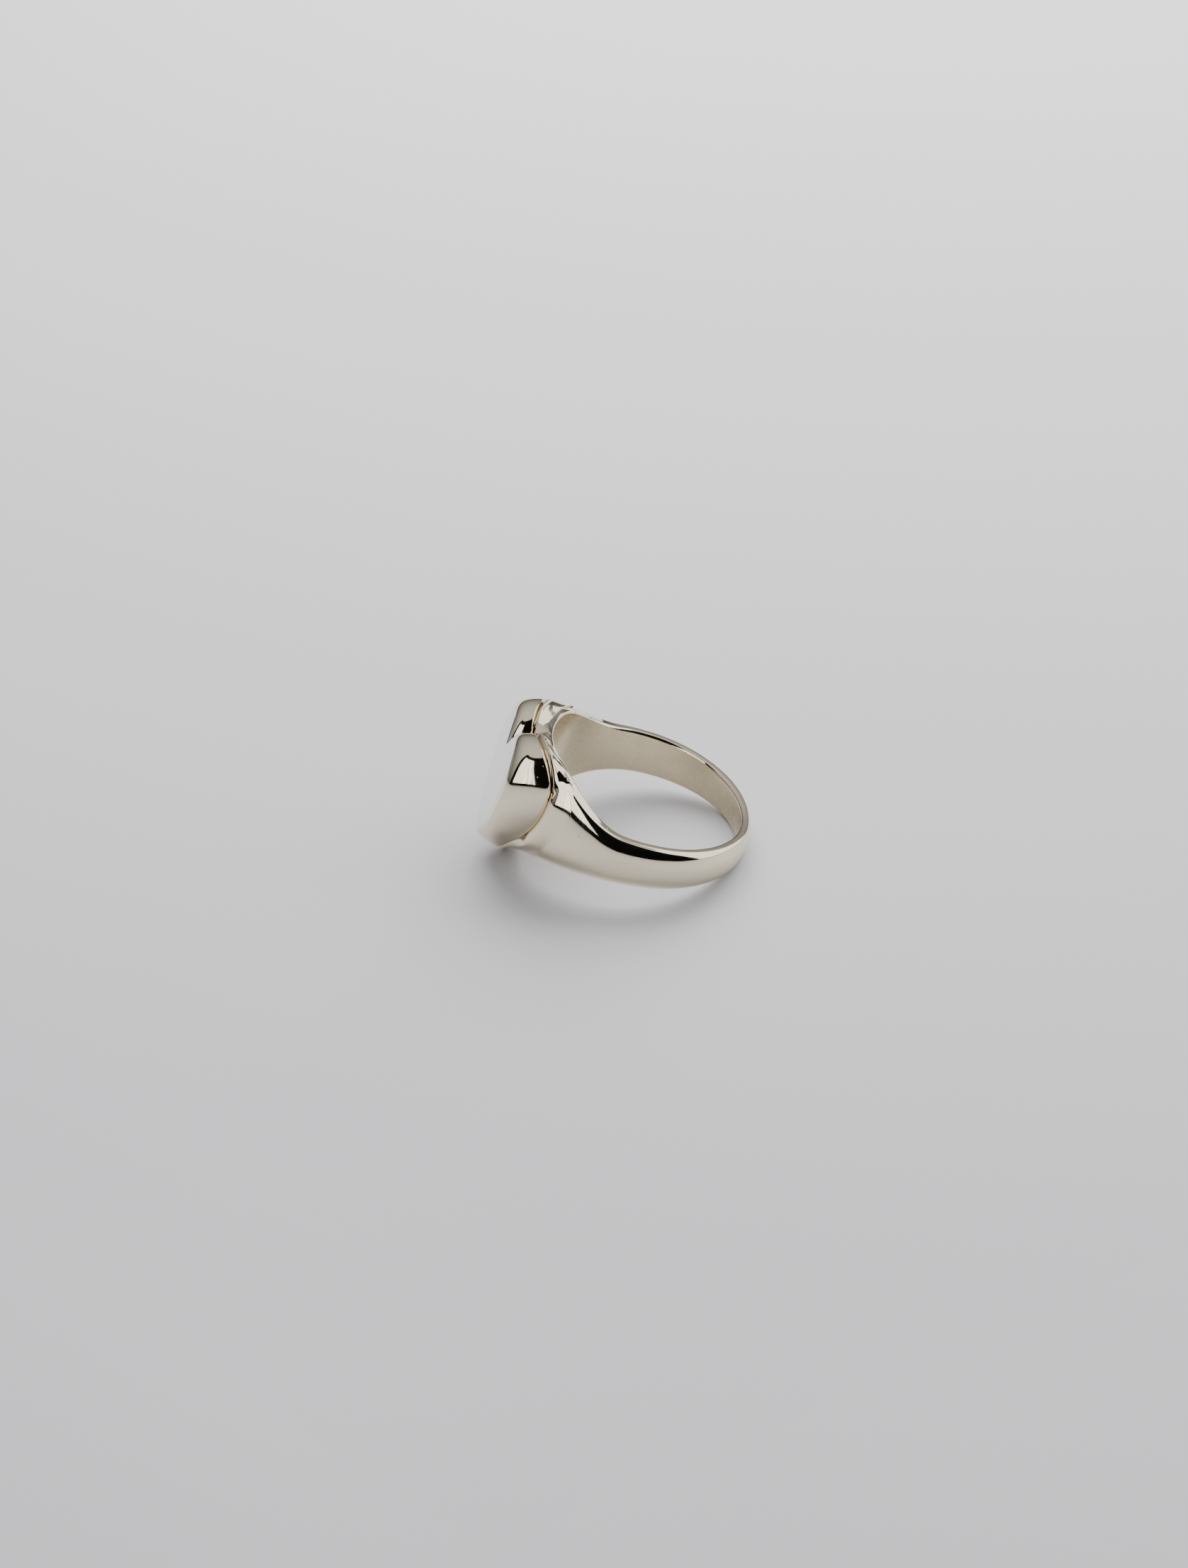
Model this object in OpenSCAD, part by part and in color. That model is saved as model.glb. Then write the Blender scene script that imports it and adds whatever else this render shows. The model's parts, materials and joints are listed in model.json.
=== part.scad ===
// Heart signet ring, lying on its side as it rests on a table.
// Millimetres. The origin is the middle of the finger hole. The ring is described upright in its
// own directions (hole along Z, head towards -Y) and then leaned back by rest_lean, so that it
// stands on the tip of the heart and on the back of the shank.

/* [Finger hole] */
// Radius of the finger hole
bore_r = 8.65; // [7.5:0.05:10]

/* [Shank] */
// Half the width of the shank at the back
back_half_w = 1.33; // [1.1:0.01:1.8]
// Extra half width that the shank gains towards the head
side_gain = 1.1; // [0.8:0.05:1.4]
// Thickness of the shank at the back
back_thick = 0.9; // [0.8:0.05:1.2]
// Extra thickness that the shank gains towards the head
thick_gain = 0.75; // [0.5:0.05:0.9]
// Width of the flat rim beside the finger hole
rim_flat = 0.45; // [0.3:0.05:0.6]

/* [Shoulders] */
// Extra half width of the shoulders on the side of the lobes
lobe_flare = 2.7; // [2.5:0.05:2.8]
// Extra half width of the shoulders on the side of the tip
tip_flare = 3.7; // [3.4:0.05:3.9]

/* [Heart] */
// Radius of each lobe
lobe_r = 3.4; // [3.3:0.02:3.6]
// Distance of each lobe's centre from the middle line
lobe_x = 3.05; // [2.9:0.01:3.1]
// Height of the lobes' centres above the middle of the hole
lobe_z = 2.65; // [2.5:0.05:2.8]
// Radius of the rounded tip
tip_r = 1; // [0.8:0.05:1.2]
// Distance of the tip's centre below the middle of the hole
tip_drop = 6.1; // [5.9:0.05:6.2]
// Angle that each flank turns through, from upright to its straight run
flank_turn = 43.5; // [42:0.5:45]

/* [Head] */
// Distance from the middle of the hole to the flat seal face
table_y = 12.56; // [12.4:0.02:12.8]
// Angle that the seal face leans, with the tip's end standing further out
head_lean = 4.5; // [3:0.5:5]
// Width of the seal face as a share of the heart's width
table_w_share = 0.64; // [0.6:0.01:0.7]
// Height of the seal face as a share of the heart's height
table_h_share = 0.52; // [0.5:0.01:0.6]
// Thickness of the seal plate
plate_thick = 0.25; // [0.2:0.05:0.3]
// Distance from the middle of the hole to the groove under the pillow
groove_r = 10.4; // [10.3:0.05:10.5]
// Width of the collar where it meets the shoulders
collar_w = 1.4; // [1.2:0.05:1.5]

/* [Rest] */
// Angle that the ring leans back as it lies on a table
rest_lean = 16; // [15:0.1:17]

/* [Hidden] */
silver = [0.86, 0.85, 0.82];
polished_silver = [0.93, 0.92, 0.9];
core_r = 7.9;           // solids run in to this radius before the finger hole is cut
joint_turn = 90;        // where the shoulders are soldered to the shank, counted from the head
tip_reach = 92;         // angle over which the shoulders narrow on the side of the tip
head_turn = 20;         // no shoulder reaches nearer to the middle of the head than this
edge_r = bore_r + 1.55; // radius at which the collar's outer edge is laid out
hole_h = 30;            // longer than the ring is deep
dome_power = 2.6;       // how square the band's dome is
gain_power = 1.3;       // how quickly the band gains width towards the head
lobe_hold = 24;         // the shoulders keep their full flare towards the lobes up to this angle
lobe_fade = 54;         // and lose it over this angle
blend_end = 1.35;       // share of the half width at which the collar is free of the shoulders
blend_span = 0.75;      // share of the half width over which it changes
heart_mid = [0, 0.3];   // the heart's outline shrinks towards this point
shank_steps = 36;
shank_cuts = 16;
shoulder_steps = 10;
lobe_steps = 16;
flank_steps = 7;
line_steps = 4;
tip_steps = 4;
half_steps = lobe_steps + flank_steps + line_steps + tip_steps;
loop_steps = 2 * half_steps;

// Rows of the seal plate and then the pillow, from the seal face to the groove: share of the
// outline's width and height, and share of the depth
plate_rows = [[[table_w_share, table_h_share], 0], [[0.76, 0.71], 0.25], [[0.83, 0.83], 1]];
pillow_rows = [[[0.89, 0.89], 0.07], [[0.94, 0.94], 0.16], [[0.972, 0.972], 0.28],
               [[0.99, 0.99], 0.42], [[1, 1], 0.6], [[0.995, 0.995], 0.78], [[0.975, 0.975], 0.92]];
groove_share = [0.95, 0.95];
seat_rows = [[0.72, 0.72], [0.48, 0.48], [0.24, 0.24]];
tip_rise = [1, 0.4];    // how far the pillow's tip is raised, at the seal face and at the groove
rise_power = 4;         // how close to the tip this stays
// Collar beside the shoulders: offset from the outline as a share of collar_w, and radius
side_rows = [[0.1, 10.62], [0.42, 10.74], [0.75, 10.55]];
// Collar at the lobes and tip: share of the way to the finger hole's rim, and radius
free_rows = [[0, 10.15], [0.12, 9.8], [0.45, 9.4]];
free_end = 0.9;
free_offset = 0.1;
tip_draw = 0.35;        // share by which the collar is drawn in at the tip

function lerp(a, b, t) = a + (b - a) * t;
function clamp(v, low, high) = min(max(v, low), high);
function smooth(t) = let(c = clamp(t, 0, 1)) c * c * (3 - 2 * c);
function turned(radius, turn, z) = [radius * sin(turn), -radius * cos(turn), z];

// Half width of the band on each side, at an angle counted from the head
function headness(turn) = abs(cos(turn / 2));
function plain_w(turn) = back_half_w + side_gain * pow(headness(turn), gain_power);
function lobe_w(turn) =
    plain_w(turn) + lobe_flare * (1 - smooth((abs(turn) - lobe_hold) / lobe_fade));
function tip_w(turn) = plain_w(turn) + tip_flare * pow(max(0, 1 - abs(turn) / tip_reach), 2);
function half_w(turn, side) = side > 0 ? lobe_w(turn) : tip_w(turn);

// Outer radius of the band: a dome that starts at the flat rim
function crown_r(turn) = bore_r + back_thick + thick_gain * headness(turn);
function band_r(mark) =
    let(dome = sqrt(max(0, 1 - pow(abs(mark[1]), dome_power))))
    lerp(bore_r + rim_flat, crown_r(mark[0]), dome);

// A mark is a place on the band: [angle from the head, share of the half width]
function mark_pt(mark, radius) =
    turned(radius, mark[0], mark[1] * half_w(mark[0], mark[1]));
function band_cut(marks) =
    concat([for (m = marks) mark_pt(m, band_r(m))],
           [for (k = [len(marks) - 1:-1:0]) mark_pt(marks[k], core_r)]);

// Heart outline, from the cleft round the right lobe to the tip and back up the left side
flank_r = (tip_drop * sin(flank_turn) + tip_r + lobe_z * sin(flank_turn)
           - (lobe_x + lobe_r) * cos(flank_turn)) / (1 - cos(flank_turn));
flank_x = lobe_x + lobe_r - flank_r;
function arc_pt(centre, radius, angle) = centre + radius * [cos(angle), sin(angle)];
function lobe_pt(i, offset) =
    let(cleft = acos(-lobe_x / (lobe_r + offset)))
    arc_pt([lobe_x, lobe_z], lobe_r + offset, cleft * (1 - i / lobe_steps));
function flank_pt(i, offset) =
    arc_pt([flank_x, lobe_z], flank_r + offset, -flank_turn * i / flank_steps);
function tip_pt(i, offset) =
    arc_pt([0, -tip_drop], tip_r + offset, -lerp(flank_turn, 90, i / tip_steps));
function half_pt(i, offset) =
    i < lobe_steps ? lobe_pt(i, offset)
    : i < lobe_steps + flank_steps ? flank_pt(i - lobe_steps, offset)
    : i < half_steps - tip_steps
        ? lerp(flank_pt(flank_steps, offset), tip_pt(0, offset),
               (i - lobe_steps - flank_steps) / line_steps)
        : tip_pt(i - half_steps + tip_steps, offset);
function heart_pt(i, offset) =
    i <= half_steps ? half_pt(i, offset)
    : let(p = half_pt(loop_steps - i, offset)) [-p[0], p[1]];

// A loop of the outline, shrunk towards its middle, with its tip raised
function raised(p, depth) =
    let(low = max(0, -p[1]) / (tip_drop + tip_r))
    [p[0], p[1] + lerp(tip_rise[0], tip_rise[1], depth) * pow(low, rise_power)];
function shrunk(p, share) =
    [for (k = [0:1]) heart_mid[k] + share[k] * (p[k] - heart_mid[k])];
function heart_loop(share, depth) =
    [for (i = [0:loop_steps - 1]) raised(shrunk(heart_pt(i, 0), share), depth)];

// A point of the heart's plan laid on a hoop of the given radius
function on_hoop(p, radius) = [p[0], -sqrt(radius * radius - p[0] * p[0]), p[1]];
function groove_loop(share) = [for (p = heart_loop(share, 1)) on_hoop(p, groove_r)];
function plate_pt(p, depth) = [p[0], p[1] * tan(head_lean) - table_y + depth, p[1]];
function plate_loop(row) = [for (p = heart_loop(row[0], 0)) plate_pt(p, plate_thick * row[1])];
function pillow_loop(row) =
    [for (p = heart_loop(row[0], row[1]))
        lerp(plate_pt(p, plate_thick), on_hoop(p, groove_r), row[1])];

// Collar: each point blends from the shoulders' profile to the free profile of lobes and tip
function edge_mark(p) =
    let(turn = sign(p[0]) * asin(abs(p[0]) / edge_r))
    [turn, p[1] / half_w(turn, p[1])];
function side_blend(i) =
    smooth((blend_end - abs(edge_mark(heart_pt(i, collar_w))[1])) / blend_span);
function free_pt(i, share) =
    let(p = heart_pt(i, free_offset), rim = sign(p[1]) * half_w(edge_mark(p)[0], p[1]))
    lerp(p, [p[0], rim], p[1] > 0 ? share : lerp(tip_draw, 1, share));
function collar_pt(i, side_share, free_share) =
    lerp(free_pt(i, free_share), heart_pt(i, collar_w * side_share), side_blend(i));
function collar_loop(side, free) =
    [for (i = [0:loop_steps - 1])
        on_hoop(collar_pt(i, side[0], free[0]), lerp(free[1], side[1], side_blend(i)))];
// The collar's outer edge meets the shoulders where it lies on the band, and is free elsewhere
function edge(i) = edge_mark(collar_pt(i, 1, free_end));
function on_band(mark) = abs(mark[1]) <= 1 && abs(mark[0]) > head_turn;
function edge_out(mark) = mark_pt(mark, on_band(mark) ? band_r(mark) : bore_r + rim_flat);
function edge_in(mark) = mark_pt([mark[0], clamp(mark[1], -1, 1)], core_r);

// Faces of a solid made of rings that all have the same number of points
function wall_faces(rings, count) =
    [for (r = [0:rings - 2], i = [0:count - 1], half = [0:1])
        let(a = r * count, b = a + count, j = (i + 1) % count)
        half == 0 ? [a + i, b + i, a + j] : [a + j, b + i, b + j]];
// A cap that fans out from a point
function fan_faces(start, count, point, out) =
    [for (i = [0:count - 1]) let(j = (i + 1) % count)
        out ? [point, start + i, start + j] : [point, start + j, start + i]];
// A cap across a ring that runs along one side and back along the other
function ladder_faces(start, count, out) =
    [for (i = [0:count / 2 - 2], half = [0:1])
        let(a = start + i, b = start + count - 1 - i,
            face = half == 0 ? [a, a + 1, b] : [a + 1, b - 1, b])
        out ? face : [face[0], face[2], face[1]]];

// Leans the upright ring back to the way it rests
module leaning() {
    rotate([-rest_lean, 0, 0]) children();
}

module finger_hole() {
    cylinder(h = hole_h, r = bore_r, center = true, $fn = 96);
}

// A closed solid of rings, with a pointed cap on the first ring and on the last
module ring_solid(rings, first_point, last_point) {
    count = len(rings[0]);
    total = len(rings) * count;
    polyhedron(
        concat([for (ring = rings) each ring], [first_point, last_point]),
        concat(fan_faces(0, count, total, true), wall_faces(len(rings), count),
               fan_faces(total - count, count, total + 1, false)));
}

// A length of band from one list of marks to the next, with the finger hole cut through it
module band_length(mark_lists) {
    cuts = [for (marks = mark_lists) band_cut(marks)];
    count = len(cuts[0]);
    difference() {
        polyhedron(
            [for (cut = cuts) each cut],
            concat(ladder_faces(0, count, true), wall_faces(len(cuts), count),
                   ladder_faces((len(cuts) - 1) * count, count, false)));
        finger_hole();
    }
}

module shank() {
    shares = [for (j = [0:shank_cuts]) cos(180 * j / shank_cuts)];
    color(silver)
        leaning()
            band_length([for (k = [0:shank_steps])
                let(turn = lerp(joint_turn, 360 - joint_turn, k / shank_steps))
                [for (share = shares) [turn, share]]]);
}

// A shoulder runs from the collar's own edge to the shank, and widens to the band's full width
module shoulder(side) {
    steps = side > 0 ? [0:half_steps] : [half_steps:loop_steps - 1];
    first = [for (i = steps) let(mark = edge(i)) if (on_band(mark)) mark];
    top = max([for (mark = first) mark[1]]);
    foot = min([for (mark = first) mark[1]]);
    last = [for (mark = first) [side * joint_turn, mark[1] / (mark[1] > 0 ? top : -foot)]];
    color(silver)
        leaning()
            band_length([for (k = [0:shoulder_steps]) lerp(first, last, k / shoulder_steps)]);
}
module left_shoulder() {
    shoulder(-1);
}
module right_shoulder() {
    shoulder(1);
}

module heart_collar() {
    edges = [for (i = [0:loop_steps - 1]) edge(i)];
    rings = concat(
        [for (k = [len(seat_rows) - 1:-1:0]) groove_loop(seat_rows[k])],
        [groove_loop(groove_share)],
        [for (k = [0:len(side_rows) - 1]) collar_loop(side_rows[k], free_rows[k])],
        [[for (mark = edges) edge_out(mark)], [for (mark = edges) edge_in(mark)]]);
    color(silver)
        leaning()
            difference() {
                ring_solid(rings, on_hoop(heart_mid, groove_r), on_hoop(heart_mid, core_r / 2));
                finger_hole();
            }
}

module heart_pillow() {
    rings = concat(
        [plate_loop(plate_rows[2])],
        [for (row = pillow_rows) pillow_loop(row)],
        [groove_loop(groove_share)],
        [for (share = seat_rows) groove_loop(share)]);
    color(polished_silver)
        leaning()
            ring_solid(rings, plate_pt(heart_mid, plate_thick), on_hoop(heart_mid, groove_r));
}

module signet_table() {
    rings = [for (row = plate_rows) plate_loop(row)];
    color(polished_silver)
        leaning()
            ring_solid(rings, plate_pt(heart_mid, 0), plate_pt(heart_mid, plate_thick));
}

shank();
left_shoulder();
right_shoulder();
heart_collar();
heart_pillow();
signet_table();
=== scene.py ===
"""Heart signet ring in polished silver, lying on a pale table."""

import json
import math
import bpy
import bmesh
import numpy as np
from mathutils import Matrix, Vector


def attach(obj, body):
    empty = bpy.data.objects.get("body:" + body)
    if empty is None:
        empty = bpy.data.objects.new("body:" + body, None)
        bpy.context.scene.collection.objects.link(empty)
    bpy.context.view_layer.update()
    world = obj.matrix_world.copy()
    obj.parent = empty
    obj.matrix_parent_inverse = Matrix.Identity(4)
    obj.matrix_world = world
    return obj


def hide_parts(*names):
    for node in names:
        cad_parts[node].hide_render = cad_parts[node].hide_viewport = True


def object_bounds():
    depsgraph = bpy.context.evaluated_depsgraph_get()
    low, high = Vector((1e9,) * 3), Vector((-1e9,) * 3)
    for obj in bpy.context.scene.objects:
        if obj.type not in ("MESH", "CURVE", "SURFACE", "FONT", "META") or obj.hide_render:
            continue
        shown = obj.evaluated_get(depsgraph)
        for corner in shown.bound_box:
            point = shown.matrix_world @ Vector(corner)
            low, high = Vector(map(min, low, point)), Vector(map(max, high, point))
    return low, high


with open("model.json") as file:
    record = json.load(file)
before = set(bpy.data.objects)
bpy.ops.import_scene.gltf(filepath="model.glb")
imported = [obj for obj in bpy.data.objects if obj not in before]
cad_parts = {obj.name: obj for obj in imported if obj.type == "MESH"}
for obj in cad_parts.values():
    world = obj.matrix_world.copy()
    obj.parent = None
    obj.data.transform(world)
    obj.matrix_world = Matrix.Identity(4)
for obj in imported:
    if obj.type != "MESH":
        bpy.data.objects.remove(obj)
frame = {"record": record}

MM = 0.001
CAD_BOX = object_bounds()

# ---------------------------------------------------------------------------------------------
# Sizes, in millimetres. The ring is worked out upright, with its hole along Z and its head
# towards -Y, and is then leaned back to the way it rests.
# ---------------------------------------------------------------------------------------------
MOUNTS = {mount["name"]: mount for mount in frame["record"]["mounts"]}
BORE = MOUNTS["finger_bore"]
BORE_R = BORE["dims"]["r_mm"]
REST_LEAN = math.atan2(BORE["axis"][1], BORE["axis"][2])
SEAL_AXIS = Vector(MOUNTS["seal_face"]["axis"])
HEAD_LEAN = math.atan2(SEAL_AXIS.z, -SEAL_AXIS.y) - REST_LEAN

# Shank and shoulders
BACK_HALF_W = 1.33
SIDE_GAIN = 1.1
GAIN_POWER = 1.3
BACK_THICK = 0.9
THICK_GAIN = 0.75
RIM_FLAT = 0.45
RIM_GAIN = 0.5           # extra width of the lobes' rim beside the collar
RIM_GAIN_START = math.radians(28)
RIM_GAIN_FULL = math.radians(48)
RIM_GAIN_END = math.radians(95)
SWELL = 0.15             # extra thickness of the shoulders where they meet the collar
SWELL_START = math.radians(46)
SWELL_SPAN = math.radians(26)
DOME_POWER = 2.6
LOBE_FLARE = 2.7
LOBE_HOLD = math.radians(24)
LOBE_FADE = math.radians(54)
TIP_FLARE = 3.7
TIP_REACH = math.radians(92)
JOINT_TURN = math.radians(90)
HEAD_TURN = math.radians(20)
EDGE_ROUND = 0.3         # rounding between the rim and the finger hole

# Heart outline
LOBE_R = 3.4
LOBE_X = 3.05
LOBE_Z = 2.65
TIP_R = 1.0
TIP_DROP = 6.1
FLANK_TURN = math.radians(43.5)
HEART_MID = np.array([0.0, 0.3])
HEART_SOFTNESS = 0.2     # width of the rounding of the cleft and the joins between arcs

# Head
TABLE_Y = 12.56
PLATE_THICK = 0.25
GROOVE_R = 10.4
GROOVE_SHARE = 0.95
TIP_RISE = (1.0, 0.4)    # how far the tip is raised, at the seal face and at the groove
RISE_POWER = 4
# Share of the outline's width, share of its height, share of the plate's thickness
PLATE_ROWS = [(0.64, 0.52, 0), (0.7, 0.61, 0.04), (0.76, 0.71, 0.25), (0.83, 0.83, 1)]
# Share of the outline, share of the way from the plate to the groove
PILLOW_ROWS = [(0.875, 0.07), (0.912, 0.16), (0.942, 0.28), (0.965, 0.42), (0.985, 0.6),
               (0.997, 0.78), (0.99, 0.92)]

# Collar
COLLAR_W = 1.4
RIDGE_R = 10.72
EDGE_R = BORE_R + 1.55   # radius at which the collar's outer edge is laid out
BLEND_END = 1.35
BLEND_SPAN = 0.75
FREE_OFFSET = 0.1
FREE_R = 10.15
FREE_END = 0.9
TIP_DRAW = 0.35
# Beside the shoulders: share of the collar's width, share of the ridge's height.
# At the lobes and the tip: share of the way to the rim.
COLLAR_ROWS = [(0.1, 0.85, 0), (0.42, 1, 0.15), (0.6, 0.82, 0.35), (0.75, 0.48, 0.55),
               (0.88, 0.16, 0.75), (0.96, 0.03, 0.9)]
RIM_SETTLE = 2           # the free edge keeps to the rim's width from 1 / RIM_SETTLE of the way in

# Numbers of points, rings and rows
HEART_STEPS = 640
ARC_STEPS = 200
ROUND_STEPS = 7
RIM_STEPS = 4
SHANK_ROWS = 260
SHANK_ACROSS = 81
SHOULDER_ROWS = 110
SHOULDER_ACROSS = 121
COLLAR_RINGS = 70
WALL_RINGS = 30
HEAD_RINGS = 150
COVER_RINGS = 12         # rings of each flat or hidden cover
HUB_SHARE = 0.04         # innermost ring of the seats and of the collar's wall
COVER_SHARE = 0.05       # innermost ring of the covers of the seal plate and the pillow
SHARP_ANGLE = math.radians(40)


# ---------------------------------------------------------------------------------------------
# Shapes as functions of the angle from the head and the share of the half width
# ---------------------------------------------------------------------------------------------
def mix(a, b, share):
    return a + (b - a) * share


def smooth(t):
    """Rises gently from 0 to 1 as t does, and is held there beyond."""
    c = np.clip(t, 0, 1)
    return c * c * (3 - 2 * c)


def headness(turn):
    """1 at the head, 0 at the back."""
    return np.abs(np.cos(turn / 2))


def half_width(turn, side):
    """Half of the band's width, towards the lobes where side is above 0, or else the tip."""
    plain = BACK_HALF_W + SIDE_GAIN * headness(turn) ** GAIN_POWER
    lobe = LOBE_FLARE * (1 - smooth((np.abs(turn) - LOBE_HOLD) / LOBE_FADE))
    tip = TIP_FLARE * np.maximum(0, 1 - np.abs(turn) / TIP_REACH) ** 2
    return plain + np.where(side > 0, lobe, tip)


def rim_radius(turn, side):
    """Radius at which the flat rim ends and the dome starts."""
    rise = smooth((np.abs(turn) - RIM_GAIN_START) / (RIM_GAIN_FULL - RIM_GAIN_START))
    fall = smooth((np.abs(turn) - RIM_GAIN_FULL) / (RIM_GAIN_END - RIM_GAIN_FULL))
    return BORE_R + RIM_FLAT + np.where(side > 0, RIM_GAIN, 0) * rise * (1 - fall)


def band_radius(turn, share):
    """Outer radius of the band: a dome that starts at the flat rim."""
    swell = SWELL * (1 - smooth((np.abs(turn) - SWELL_START) / SWELL_SPAN))
    crown = BORE_R + BACK_THICK + THICK_GAIN * headness(turn) + swell
    dome = np.sqrt(np.maximum(0, 1 - np.abs(share) ** DOME_POWER))
    return mix(rim_radius(turn, share), crown, dome)


def turned(turn, height, radius):
    """The point at this angle from the head, height and radius."""
    return np.stack(np.broadcast_arrays(radius * np.sin(turn), -radius * np.cos(turn), height), -1)


def band_point(turn, share, radius):
    """The point at this angle, share of the half width and radius."""
    return turned(turn, share * half_width(turn, share), radius)


def arc(centre_x, centre_z, radius, start, end):
    """Points along an arc in plan, without its last."""
    angle = np.linspace(start, end, ARC_STEPS, endpoint=False)
    return np.stack([centre_x + radius * np.cos(angle), centre_z + radius * np.sin(angle)], -1)


def heart_outline():
    """The heart in plan as a closed, evenly spaced loop, from the cleft round the right lobe."""
    s = math.sin(FLANK_TURN)
    c = math.cos(FLANK_TURN)
    flank_r = ((TIP_DROP + LOBE_Z) * s + TIP_R - (LOBE_X + LOBE_R) * c) / (1 - c)
    half = np.concatenate([
        arc(LOBE_X, LOBE_Z, LOBE_R, math.acos(-LOBE_X / LOBE_R), 0),
        arc(LOBE_X + LOBE_R - flank_r, LOBE_Z, flank_r, 0, -FLANK_TURN),
        arc(0, -TIP_DROP, TIP_R, -FLANK_TURN, -math.pi / 2),
        [[0, -TIP_DROP - TIP_R]]])
    whole = np.concatenate([half, half[-2::-1] * [-1, 1]])
    along = np.concatenate([[0], np.cumsum(np.linalg.norm(np.diff(whole, axis=0), axis=1))])
    at = np.linspace(0, along[-1], HEART_STEPS, endpoint=False)
    even = np.stack([np.interp(at, along, whole[:, k]) for k in (0, 1)], -1)
    waves = np.fft.fftfreq(HEART_STEPS) * HEART_STEPS / along[-1]
    soft = np.exp(-2 * (math.pi * HEART_SOFTNESS * waves) ** 2)
    return np.fft.ifft(np.fft.fft(even, axis=0) * soft[:, None], axis=0).real


HEART = heart_outline()
HEART_RUN = np.roll(HEART, -1, axis=0) - np.roll(HEART, 1, axis=0)
HEART_OUT = np.stack([-HEART_RUN[:, 1], HEART_RUN[:, 0]], -1)
HEART_OUT /= np.linalg.norm(HEART_OUT, axis=1, keepdims=True)


def heart_loop(width_share, height_share, depth):
    """The outline shrunk towards its middle, with its tip raised."""
    loop = HEART_MID + [width_share, height_share] * (HEART - HEART_MID)
    low = np.maximum(-loop[:, 1], 0) / (TIP_DROP + TIP_R)
    loop[:, 1] += mix(TIP_RISE[0], TIP_RISE[1], depth) * low ** RISE_POWER
    return loop


def on_hoop(plan, radius):
    """Points of the heart's plan laid on a hoop."""
    return np.stack([plan[:, 0], -np.sqrt(radius ** 2 - plan[:, 0] ** 2), plan[:, 1]], -1)


def on_plate(plan, depth):
    """Points of the heart's plan laid at a depth below the seal face."""
    y = plan[:, 1] * math.tan(HEAD_LEAN) - TABLE_Y + depth
    return np.stack([plan[:, 0], y, plan[:, 1]], -1)


def plate_rings():
    """Rings down the seal plate's rounded edge."""
    return [on_plate(heart_loop(wide, high, 0), PLATE_THICK * depth)
            for wide, high, depth in PLATE_ROWS]


def groove_ring(share=GROOVE_SHARE):
    """The bottom of the groove round the pillow, or a smaller ring on the same hoop."""
    return on_hoop(heart_loop(share, share, 1), GROOVE_R)


def pillow_rings():
    """Rings from the seal plate's foot, over the pillow, to the groove."""
    rings = [plate_rings()[-1]]
    for share, depth in PILLOW_ROWS:
        loop = heart_loop(share, share, depth)
        rings.append(mix(on_plate(loop, PLATE_THICK), on_hoop(loop, GROOVE_R), depth))
    return rings + [groove_ring()]


def plan_mark(plan):
    """Angle from the head and share of the half width, for points of the heart's plan."""
    turn = np.arcsin(plan[:, 0] / EDGE_R)
    return turn, plan[:, 1] / half_width(turn, plan[:, 1])


SIDE_BLEND = smooth((BLEND_END - np.abs(plan_mark(HEART + HEART_OUT * COLLAR_W)[1])) / BLEND_SPAN)


def collar_plan(side_share, free_share):
    """Plan of one collar ring: beside the shoulders it follows the heart, elsewhere the rim."""
    free = HEART + HEART_OUT * FREE_OFFSET
    rim = np.sign(free[:, 1]) * half_width(plan_mark(free)[0], free[:, 1])
    reach = FREE_END * free_share
    drawn = np.where(free[:, 1] > 0, reach, mix(TIP_DRAW, 1, reach))
    free[:, 1] = mix(free[:, 1], rim, drawn)
    return mix(free, HEART + HEART_OUT * COLLAR_W * side_share, SIDE_BLEND[:, None])


def collar_ring(side_share, height_share, free_share):
    """One ring of the collar's outer surface."""
    plan = collar_plan(side_share, free_share)
    turn, share = plan_mark(plan)
    band = band_radius(turn, np.clip(share, -1, 1))
    side_r = mix(band, RIDGE_R, height_share)
    free_r = mix(FREE_R, rim_radius(turn, share), free_share)
    return on_hoop(plan, mix(free_r, side_r, SIDE_BLEND))


def collar_edge():
    """Marks of the collar's outer edge, and whether each lies on the band."""
    turn, share = plan_mark(collar_plan(1, 1))
    return turn, share, (np.abs(share) <= 1) & (np.abs(turn) > HEAD_TURN)


def edge_ring():
    """The collar's outer edge, on the band beside the shoulders and on the rim elsewhere."""
    turn, share, on_band = collar_edge()
    return band_point(turn, share, np.where(on_band, band_radius(turn, share),
                                              rim_radius(turn, share)))


def splined(rings, count):
    """Rings along natural cubic splines through the given rings."""
    rings = np.array(rings)
    gaps = np.linalg.norm(np.diff(rings, axis=0), axis=2).mean(axis=1)
    knots = np.concatenate([[0], np.cumsum(gaps)])
    size = len(knots)
    rows = np.eye(size)
    bends = np.zeros_like(rings)
    for k in range(1, size - 1):
        rows[k, k - 1:k + 2] = gaps[k - 1], 2 * (gaps[k - 1] + gaps[k]), gaps[k]
        slopes = [(rings[k + i + 1] - rings[k + i]) / gaps[k + i] for i in (-1, 0)]
        bends[k] = 6 * (slopes[1] - slopes[0])
    bends = np.linalg.solve(rows, bends.reshape(size, -1)).reshape(rings.shape)
    at = np.linspace(0, knots[-1], count)
    k = np.clip(np.searchsorted(knots, at, side="right") - 1, 0, size - 2)
    gap = gaps[k][:, None, None]
    ahead = (knots[k + 1] - at)[:, None, None]
    behind = (at - knots[k])[:, None, None]
    cubic = (bends[k] * ahead ** 3 + bends[k + 1] * behind ** 3) / (6 * gap)
    start = (rings[k] / gap - bends[k] * gap / 6) * ahead
    end = (rings[k + 1] / gap - bends[k + 1] * gap / 6) * behind
    return cubic + start + end


# ---------------------------------------------------------------------------------------------
# Meshes
# ---------------------------------------------------------------------------------------------
LEANING = Matrix.Rotation(-REST_LEAN, 3, "X")
OUTSIDE = 0              # places in a piece's list of materials
INSIDE = 1


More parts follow.
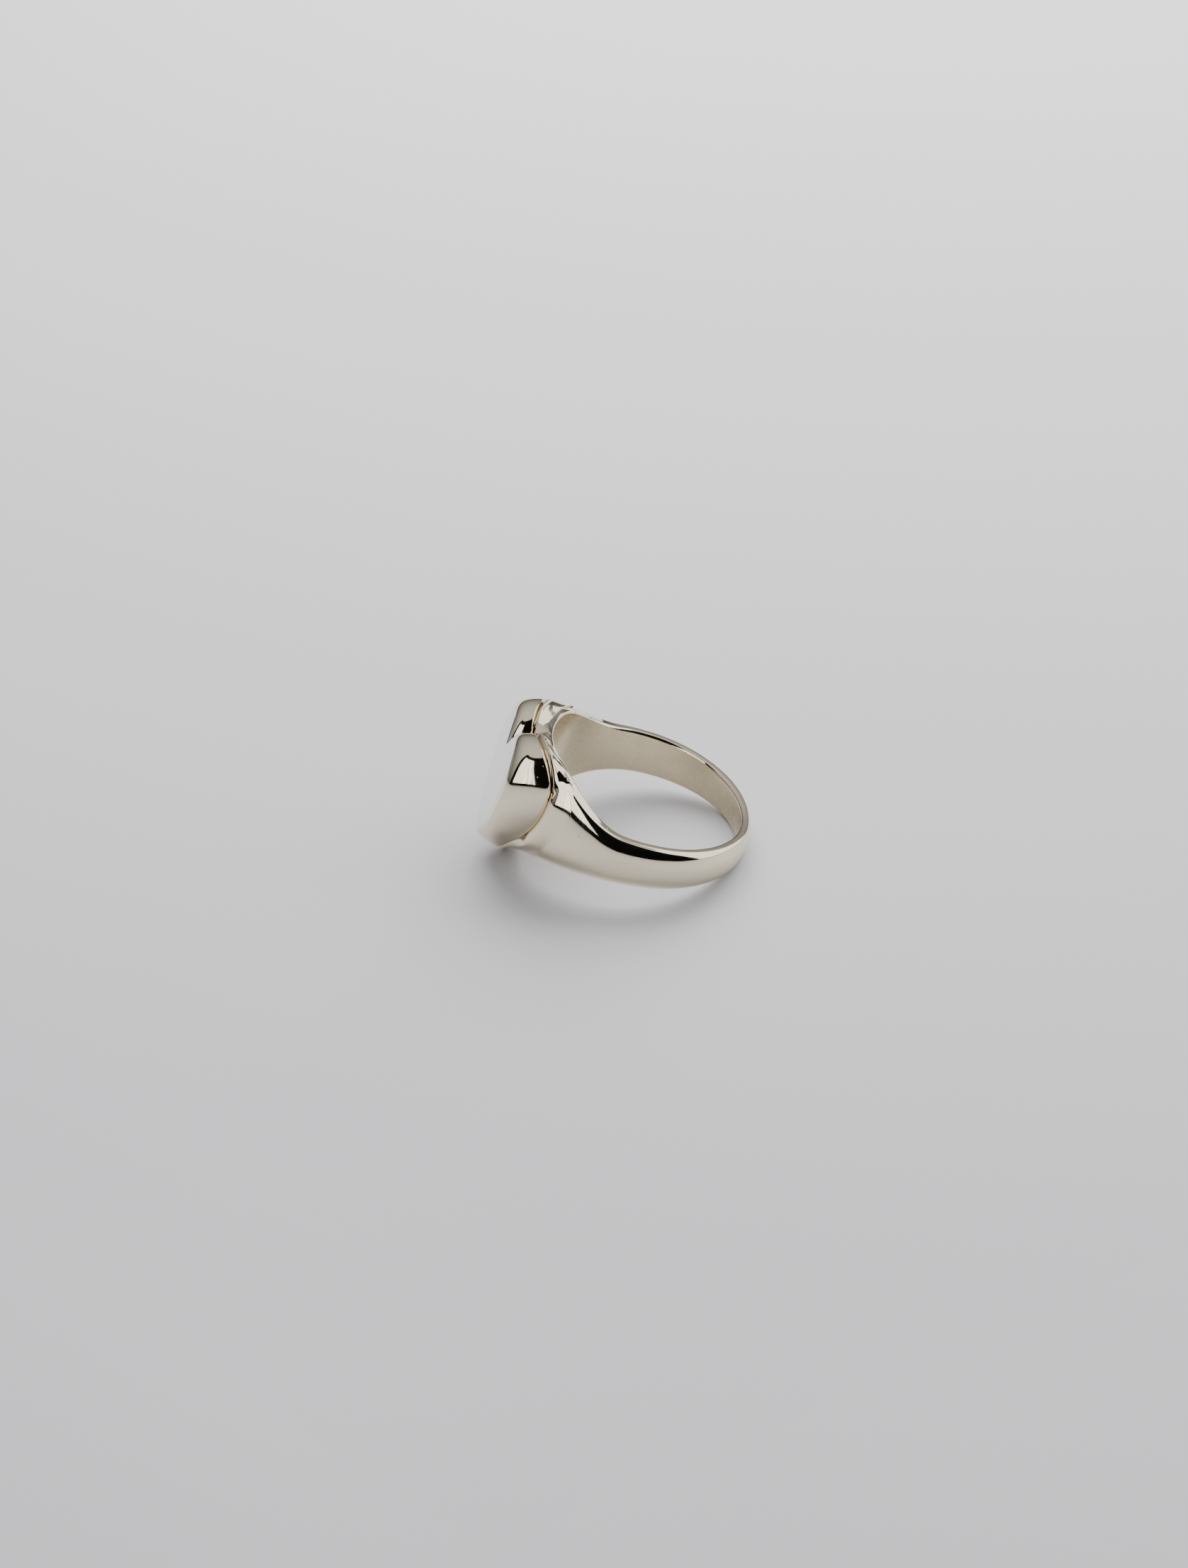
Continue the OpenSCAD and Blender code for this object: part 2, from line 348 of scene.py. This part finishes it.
class Skin:
    """Points and faces of one closed piece, built from rings with the same number of points."""

    def __init__(self):
        self.points = []
        self.faces = []
        self.slots = []
        self.total = 0

    def add_points(self, points):
        start = self.total
        self.points.append(np.reshape(points, (-1, 3)))
        self.total += len(self.points[-1])
        return start

    def add_face(self, face, slot=OUTSIDE):
        self.faces.append(face)
        self.slots.append(slot)

    def add_walls(self, start, rows, count, slot_of_row=lambda row: OUTSIDE):
        """Faces between closed rings of this many points each."""
        for row in range(rows - 1):
            a = start + row * count
            for i in range(count):
                j = (i + 1) % count
                self.add_face((a + i, a + j, a + count + j, a + count + i), slot_of_row(row))

    def add_fan(self, start, count, point, slot=OUTSIDE):
        """Faces from a closed ring to one point."""
        tip = self.add_points(point)
        for i in range(count):
            self.add_face((start + i, start + (i + 1) % count, tip), slot)

    def to_object(self, name, materials):
        """The skin as an object in metres, leaned the way the ring rests."""
        points = np.concatenate(self.points) @ np.array(LEANING).T * MM
        mesh = bpy.data.meshes.new(name)
        mesh.from_pydata(points.tolist(), [], self.faces)
        for material in materials:
            mesh.materials.append(material)
        mesh.polygons.foreach_set("material_index", self.slots)
        mesh.polygons.foreach_set("use_smooth", [True] * len(self.faces))
        shape = bmesh.new()
        shape.from_mesh(mesh)
        bmesh.ops.recalc_face_normals(shape, faces=shape.faces)
        shape.to_mesh(mesh)
        shape.free()
        mesh.set_sharp_from_angle(angle=SHARP_ANGLE)
        mesh.update()
        obj = bpy.data.objects.new(name, mesh)
        bpy.context.scene.collection.objects.link(obj)
        return obj


def rim_path(turn, side):
    """Radii and insets from the rim, from the band's edge round into the finger hole."""
    flat = np.linspace(1, 0, RIM_STEPS, endpoint=False)[1:]
    angle = np.linspace(0, math.pi / 2, ROUND_STEPS)[:-1]
    path = [(mix(BORE_R + EDGE_ROUND, rim_radius(turn, side), share), 0) for share in flat]
    for a in angle:
        radius = BORE_R + EDGE_ROUND * (1 - math.sin(a))
        path.append((np.full(np.shape(turn), radius), EDGE_ROUND * (1 - math.cos(a))))
    return path


def band_skin(turns, shares):
    """A length of band. Each row of marks runs from the rim on the lobes' side to the other."""
    skin = Skin()
    rows, across = turns.shape
    top = [turned(turns[:, 0], half_width(turns[:, 0], 1) - inset, radius)
           for radius, inset in rim_path(turns[:, 0], 1)]
    foot = [turned(turns[:, -1], inset - half_width(turns[:, -1], -1), radius)
            for radius, inset in rim_path(turns[:, -1], -1)]
    outer = band_point(turns, shares, band_radius(turns, shares))
    wall_z = shares * (half_width(turns, shares) - EDGE_ROUND)
    inner = turned(turns, wall_z, np.full(turns.shape, BORE_R))[:, ::-1]
    loops = np.concatenate([outer, np.stack(foot, 1), inner, np.stack(top[::-1], 1)], axis=1)
    count = loops.shape[1]
    first_inner = across + len(foot)
    last_inner = first_inner + across - 1
    start = skin.add_points(loops)
    for row in range(rows - 1):
        a = start + row * count
        for i in range(count):
            j = (i + 1) % count
            slot = INSIDE if first_inner <= i < last_inner else OUTSIDE
            skin.add_face((a + i, a + count + i, a + count + j, a + j), slot)
    for a in (start, start + (rows - 1) * count):
        for i in range(across - 1):
            skin.add_face((a + i, a + i + 1, a + last_inner - i - 1, a + last_inner - i))
        skin.add_face(tuple(range(a + across - 1, a + first_inner + 1)))
        skin.add_face((a,) + tuple(range(a + last_inner, a + count)))
    return skin


def shank_skin():
    """The rear half of the hoop."""
    turns = np.linspace(JOINT_TURN, 2 * math.pi - JOINT_TURN, SHANK_ROWS)
    shares = np.cos(np.linspace(0, math.pi, SHANK_ACROSS))
    return band_skin(*np.meshgrid(turns, shares, indexing="ij"))


def shoulder_skin(side):
    """From the collar's own edge to the shank."""
    turn, share, _ = collar_edge()
    beside = (turn > HEAD_TURN) & (share > -1)
    order = np.argsort(-share[beside])
    shares = np.cos(np.linspace(0, math.pi, SHOULDER_ACROSS))
    first = np.interp(-shares, -share[beside][order], turn[beside][order])
    rows = np.linspace(0, 1, SHOULDER_ROWS)[:, None]
    turns = side * mix(first[None], JOINT_TURN, rows)
    return band_skin(turns, np.broadcast_to(shares, turns.shape))


def collar_skin():
    """The pillow's seat, the outer surface, the rim and the finger hole's front wall."""
    skin = Skin()
    outer = splined([groove_ring()] + [collar_ring(*row) for row in COLLAR_ROWS] + [edge_ring()],
                    COLLAR_RINGS)
    turn, share, on_band = collar_edge()
    rim_share = np.clip(share, -1, 1)
    wide = half_width(turn, share)
    edge_r = np.linalg.norm(outer[-1][:, :2], axis=1)
    inner = []
    for radius, inset in rim_path(turn, share):
        down = (edge_r - radius) / (edge_r - BORE_R)
        settled = np.clip(down * RIM_SETTLE, 0, 1)
        free_z = mix(share, rim_share, settled) * wide - np.sign(share) * inset
        band_z = share * (wide - EDGE_ROUND * down)
        inner.append(turned(turn, np.where(on_band, band_z, free_z), radius))
    wall_z = rim_share * (wide - EDGE_ROUND)
    wall = [turned(turn * s, wall_z * s, BORE_R) for s in np.linspace(1, HUB_SHARE, WALL_RINGS)]
    seat = [groove_ring(s)
            for s in np.linspace(HUB_SHARE, GROOVE_SHARE, COVER_RINGS, endpoint=False)]
    rings = np.concatenate([seat, outer, inner, wall])
    start = skin.add_points(rings)
    first_wall = len(rings) - len(wall)
    skin.add_walls(start, len(rings), HEART_STEPS,
                   lambda row: INSIDE if row >= first_wall else OUTSIDE)
    skin.add_fan(start, HEART_STEPS, on_hoop(HEART_MID[None], GROOVE_R))
    last = start + (len(rings) - 1) * HEART_STEPS
    skin.add_fan(last, HEART_STEPS, turned(0, 0, BORE_R), slot=INSIDE)
    return skin


def head_rings():
    """One smooth surface over the seal plate's edge and the pillow."""
    return splined(plate_rings()[:-1] + pillow_rings(), HEAD_RINGS)


def split_head():
    """The rings of the seal plate's edge, and those of the pillow."""
    rings = head_rings()
    rim = plate_rings()[-1]
    joint = int(np.argmin([np.linalg.norm(ring - rim) for ring in rings]))
    return rings[:joint + 1], rings[joint:]


def plain_skin(rings, first_point, last_point):
    """A skin of closed rings with a fan at each end."""
    skin = Skin()
    start = skin.add_points(rings)
    skin.add_walls(start, len(rings), HEART_STEPS)
    skin.add_fan(start, HEART_STEPS, first_point)
    skin.add_fan(start + (len(rings) - 1) * HEART_STEPS, HEART_STEPS, last_point)
    return skin


def toward_middle(ring, middle, shares):
    """The ring drawn in towards a middle point, once for each share."""
    return [mix(middle, ring, s) for s in shares]


def table_skin():
    """The seal face, the plate's edge and its hidden underside."""
    edge = split_head()[0]
    top = on_plate(HEART_MID[None], 0)
    under = on_plate(HEART_MID[None], PLATE_THICK)
    outward = np.linspace(COVER_SHARE, 1, COVER_RINGS, endpoint=False)
    face = toward_middle(edge[0], top, outward)
    base = toward_middle(edge[-1], under, np.linspace(1, COVER_SHARE, COVER_RINGS)[1:])
    return plain_skin(np.concatenate([face, edge, base]), top, under)


def heart_pillow_skin():
    """The hidden cover under the seal plate, the puffed sides and the seat on the collar."""
    dome = split_head()[1]
    top = on_plate(HEART_MID[None], PLATE_THICK)
    seat = [groove_ring(s) for s in np.linspace(GROOVE_SHARE, HUB_SHARE, COVER_RINGS)[1:]]
    outward = np.linspace(COVER_SHARE, 1, COVER_RINGS, endpoint=False)
    cover = toward_middle(dome[0], top, outward)
    back = on_hoop(HEART_MID[None], GROOVE_R)
    return plain_skin(np.concatenate([cover, dome, seat]), top, back)


# ---------------------------------------------------------------------------------------------
# Materials
# ---------------------------------------------------------------------------------------------
SILVER = (0.80, 0.715, 0.54)
# Darker colour of the finger hole's satin finish: painted shade inside the hole
SHADED_SATIN_SILVER = (0.69, 0.595, 0.415)
# Lighter, less yellow colour of the seal face: a painted pale reflection on the face
LIT_SEAL_SILVER = (0.89, 0.86, 0.80)
TARNISH = (0.85, 0.78, 0.68)     # tint of the metal in narrow gaps
CAVITY = 0.25 * MM               # how far a gap reaches to count as narrow
OPEN_RANGE = (0.15, 0.75)        # openness of a fully tarnished and of a clean place
RIPPLE = 0.03 * MM
PIT_DEPTH = 0.01 * MM
PIT_RANGE = (0.74, 0.8)          # speck noise at which a pit starts and is deepest
POLISH_RANGE = (0.35, 0.7)       # cloud noise of the smoothest and of the roughest metal

# Steps of noise in a millimetre, along X, Y and Z
POLISH_SCALE = (0.9, 0.9, 0.9)
RIPPLE_SCALE = (0.45, 0.45, 0.45)
HAIRLINE_SCALE = (40, 2, 2)
HAIRLINE_TURN = (0.4, 0.7, 0.3)
PIT_SCALE = (2.5, 2.5, 2.5)


def shader_of(material):
    return material.node_tree.nodes["Principled BSDF"]


def new_material(name, color, roughness):
    material = bpy.data.materials.new(name)
    material.use_nodes = True
    shader = shader_of(material)
    shader.inputs["Base Color"].default_value = (*color, 1)
    shader.inputs["Roughness"].default_value = roughness
    return material


def add_node(tree, kind, **inputs):
    node = tree.nodes.new(kind)
    for name, value in inputs.items():
        node.inputs[name].default_value = value
    return node


def placed(tree, scale, turn=(0, 0, 0)):
    """Object coordinates in millimetres, stretched and turned."""
    place = tree.nodes.new("ShaderNodeTexCoord")
    mapping = tree.nodes.new("ShaderNodeMapping")
    mapping.inputs["Scale"].default_value = [value / MM for value in scale]
    mapping.inputs["Rotation"].default_value = turn
    tree.links.new(place.outputs["Object"], mapping.inputs["Vector"])
    return mapping.outputs["Vector"]


def noise(tree, vector, detail, roughness=0.5):
    node = add_node(tree, "ShaderNodeTexNoise", Scale=1.0, Detail=detail, Roughness=roughness)
    tree.links.new(vector, node.inputs["Vector"])
    return node.outputs["Fac"]


def ranged(tree, value, low, high, to_low, to_high):
    """The value moved from one range to another, and held inside it."""
    node = tree.nodes.new("ShaderNodeMapRange")
    for name, number in (("From Min", low), ("From Max", high), ("To Min", to_low),
                         ("To Max", to_high)):
        node.inputs[name].default_value = number
    tree.links.new(value, node.inputs["Value"])
    return node.outputs["Result"]


def bumped(tree, height, distance, normal=None):
    """Normals that follow a height, on top of earlier ones if there are any."""
    node = add_node(tree, "ShaderNodeBump", Strength=1.0, Distance=distance)
    tree.links.new(height, node.inputs["Height"])
    if normal:
        tree.links.new(normal, node.inputs["Normal"])
    return node.outputs["Normal"]


def silver(name, color, smoothest, roughest, hairline, ripple):
    """Silver with a cloudy polish, tarnished gaps, ripple, small pits and fine hairlines."""
    material = new_material(name, color, smoothest)
    tree = material.node_tree
    shader = shader_of(material)
    shader.inputs["Metallic"].default_value = 1.0
    polish = noise(tree, placed(tree, POLISH_SCALE), detail=4, roughness=0.6)
    cloudy = ranged(tree, polish, *POLISH_RANGE, smoothest, roughest)
    tree.links.new(cloudy, shader.inputs["Roughness"])
    tint = tree.nodes.new("ShaderNodeMix")
    tint.data_type = "RGBA"
    tint.inputs["A"].default_value = (*[c * t for c, t in zip(color, TARNISH)], 1)
    tint.inputs["B"].default_value = (*color, 1)
    openness = add_node(tree, "ShaderNodeAmbientOcclusion", Distance=CAVITY)
    clean = ranged(tree, openness.outputs["AO"], *OPEN_RANGE, 0, 1)
    tree.links.new(clean, tint.inputs["Factor"])
    tree.links.new(tint.outputs["Result"], shader.inputs["Base Color"])
    waves = noise(tree, placed(tree, RIPPLE_SCALE), detail=1)
    lines = noise(tree, placed(tree, HAIRLINE_SCALE, HAIRLINE_TURN), detail=3)
    specks = noise(tree, placed(tree, PIT_SCALE), detail=2)
    pits = ranged(tree, specks, *PIT_RANGE, 1, 0)
    wide = bumped(tree, pits, PIT_DEPTH, normal=bumped(tree, waves, ripple))
    tree.links.new(bumped(tree, lines, hairline, normal=wide), shader.inputs["Normal"])
    return material


def polished_silver():
    return silver("polished_silver", SILVER, smoothest=0.05, roughest=0.1,
                  hairline=0.0004 * MM, ripple=RIPPLE)


def shaded_satin_silver():
    """The softer finish inside the finger hole, in a darker colour that paints the shade inside
    the hole.
    """
    return silver("shaded_satin_silver", SHADED_SATIN_SILVER, smoothest=0.22, roughest=0.34,
                  hairline=0.003 * MM, ripple=RIPPLE)


def mirror_silver():
    return silver("mirror_silver", SILVER, smoothest=0.04, roughest=0.08,
                  hairline=0.0003 * MM, ripple=RIPPLE)


def lit_seal_silver():
    """The seal face, ground flat, so nearly without ripple, in a lighter colour that paints a pale
    reflection on the face.
    """
    return silver("lit_seal_silver", LIT_SEAL_SILVER, smoothest=0.06, roughest=0.12,
                  hairline=0.0008 * MM, ripple=0.004 * MM)


polished = polished_silver()
shaded_satin = shaded_satin_silver()
mirror = mirror_silver()
seal = lit_seal_silver()

# The function that builds each piece, what it is told, its slot and its materials
PIECES = {
    "shank": (shank_skin, (), "silver", (polished, shaded_satin)),
    "left_shoulder": (shoulder_skin, (-1,), "silver", (polished, shaded_satin)),
    "right_shoulder": (shoulder_skin, (1,), "silver", (polished, shaded_satin)),
    "heart_collar": (collar_skin, (), "silver", (polished, shaded_satin)),
    "heart_pillow": (heart_pillow_skin, (), "head_polish", (mirror,)),
    "signet_table": (table_skin, (), "seal_polish", (seal,)),
}
for node, (build, extra, slot, materials) in PIECES.items():
    piece = build(*extra).to_object(node + "_skin", materials)
    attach(piece, "root")
    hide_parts(node)


# ---------------------------------------------------------------------------------------------
# Table and light: distances in metres, azimuths and elevations in degrees
# ---------------------------------------------------------------------------------------------
FLOOR_Z = CAD_BOX[0].z
FLOOR_SIZE = 6
FLOOR_COLOR = (0.58, 0.58, 0.60)
FLOOR_ROUGHNESS = 0.6
SKY_COLOR = (0.80, 0.79, 0.82)
SKY_STRENGTH = (0.12, 1.0)       # up to the horizon, and overhead
BLACK_STRENGTH = 0.004
BACK_STRENGTH = 2.0
FOLD_RANGE = (0, 0.35)           # wave height in the folds of the window's curtain and outside
FOLD_STRENGTH = (1.0, 2.8)
CARD_STEPS = 25


def heading(azimuth, elevation=0.0):
    """Direction at an azimuth from the head towards +X, and an elevation."""
    a = math.radians(azimuth)
    e = math.radians(elevation)
    return Vector((math.sin(a) * math.cos(e), -math.cos(a) * math.cos(e), math.sin(e)))


def add_stage(name, points, faces, material):
    """A mesh for the table or a card, not attached to the ring."""
    mesh = bpy.data.meshes.new(name)
    mesh.from_pydata(points, [], faces)
    mesh.materials.append(material)
    obj = bpy.data.objects.new(name, mesh)
    bpy.context.scene.collection.objects.link(obj)
    return obj


def add_table():
    """The flat surface that the ring lies on."""
    half = FLOOR_SIZE / 2
    corners = [(-half, -half, FLOOR_Z), (half, -half, FLOOR_Z),
               (half, half, FLOOR_Z), (-half, half, FLOOR_Z)]
    add_stage("table", corners, [(0, 1, 2, 3)],
              new_material("pale_table", FLOOR_COLOR, FLOOR_ROUGHNESS))


def add_sky():
    """A pale room that is darker towards the floor."""
    world = bpy.data.worlds.new("studio")
    world.use_nodes = True
    bpy.context.scene.world = world
    tree = world.node_tree
    background = tree.nodes["Background"]
    direction = tree.nodes.new("ShaderNodeTexCoord")
    parts = tree.nodes.new("ShaderNodeSeparateXYZ")
    tree.links.new(direction.outputs["Generated"], parts.inputs["Vector"])
    background.inputs["Color"].default_value = (*SKY_COLOR, 1)
    tree.links.new(ranged(tree, parts.outputs["Z"], 0, 1, *SKY_STRENGTH),
                   background.inputs["Strength"])


def glow_material(name, strength=1.0):
    """White light from a surface that reflects nothing."""
    material = new_material(name, (0, 0, 0), 1)
    shader = shader_of(material)
    shader.inputs["Specular IOR Level"].default_value = 0
    shader.inputs["Emission Color"].default_value = (1, 1, 1, 1)
    shader.inputs["Emission Strength"].default_value = strength
    return material


def window_material():
    """A bright window behind a curtain with soft folds."""
    material = glow_material("window_light")
    tree = material.node_tree
    folds = add_node(tree, "ShaderNodeTexWave", Scale=3.0, Distortion=6.0, Detail=2.0)
    tree.links.new(ranged(tree, folds.outputs["Fac"], *FOLD_RANGE, *FOLD_STRENGTH),
                   shader_of(material).inputs["Emission Strength"])
    return material


def add_card(name, azimuths, elevations, distance, material):
    """A curved upright card between these azimuths and elevations, seen only in reflections."""
    heights = [distance * math.tan(math.radians(angle)) for angle in elevations]
    points = []
    for azimuth in np.linspace(*azimuths, CARD_STEPS):
        foot = heading(azimuth) * distance
        points += [foot + Vector((0, 0, height)) for height in heights]
    faces = [(2 * i, 2 * i + 2, 2 * i + 3, 2 * i + 1) for i in range(CARD_STEPS - 1)]
    card = add_stage(name, points, faces, material)
    card.visible_camera = False
    card.visible_diffuse = False
    card.visible_shadow = False


def add_area_light(name, azimuth, elevation, distance, size, power):
    """A soft light that points at the ring and isn't seen in its reflections."""
    light = bpy.data.lights.new(name, "AREA")
    light.shape = "RECTANGLE"
    light.size, light.size_y = size
    light.energy = power
    obj = bpy.data.objects.new(name, light)
    direction = heading(azimuth, elevation)
    obj.location = direction * distance
    obj.rotation_euler = direction.to_track_quat("Z", "Y").to_euler()
    obj.visible_glossy = False
    bpy.context.scene.collection.objects.link(obj)


add_table()
add_sky()
black = glow_material("black_flat", BLACK_STRENGTH)
behind = glow_material("back_light", BACK_STRENGTH)
window = window_material()

# Azimuths, elevations, distance and material
CARDS = {
    "flat_left": ((10, 27), (-1, 76), 0.7, black),
    "flat_right": ((90, 158), (-1, 76), 0.7, black),
    "flat_behind": ((20, 95), (-1, 76), 0.75, black),
    "window": ((28, 71), (13, 65), 0.042, window),
    "glow_back": ((160, 225), (2, 55), 0.7, behind),
}
for name, card_facts in CARDS.items():
    add_card(name, *card_facts)

add_area_light("key", azimuth=190, elevation=38, distance=0.9, size=(0.7, 0.7), power=3.5)
add_area_light("far_side", azimuth=262, elevation=42, distance=0.32, size=(0.35, 0.35), power=2.4)


# ---------------------------------------------------------------------------------------------
# Camera, described in the upright ring's directions, in millimetres and degrees
# ---------------------------------------------------------------------------------------------
VIEW_AZIMUTH = 80.97
VIEW_ELEVATION = 30.62
VIEW_ROLL = math.radians(16.8)
VIEW_DISTANCE = 319.95
VIEW_AIM = (-3.777, 1.882)       # how far the camera stands to its own right and above
SENSOR = 36.0
LENS = 87.28
CLIP_START = 10


def camera_matrix():
    back = heading(VIEW_AZIMUTH, VIEW_ELEVATION)
    level = heading(VIEW_AZIMUTH + 90)
    top = back.cross(level)
    right = math.cos(VIEW_ROLL) * level + math.sin(VIEW_ROLL) * top
    above = back.cross(right)
    place = back * VIEW_DISTANCE + right * VIEW_AIM[0] + above * VIEW_AIM[1]
    turn = LEANING @ Matrix((right, above, back)).transposed()
    return Matrix.Translation(LEANING @ place * MM) @ turn.to_4x4()


def add_camera():
    camera_data = bpy.data.cameras.new("camera")
    camera_data.sensor_fit = "VERTICAL"
    camera_data.sensor_height = SENSOR
    camera_data.lens = LENS
    camera_data.clip_start = CLIP_START * MM
    camera = bpy.data.objects.new("camera", camera_data)
    camera.matrix_world = camera_matrix()
    bpy.context.scene.collection.objects.link(camera)
    bpy.context.scene.camera = camera


add_camera()

bpy.context.view_layer.update()
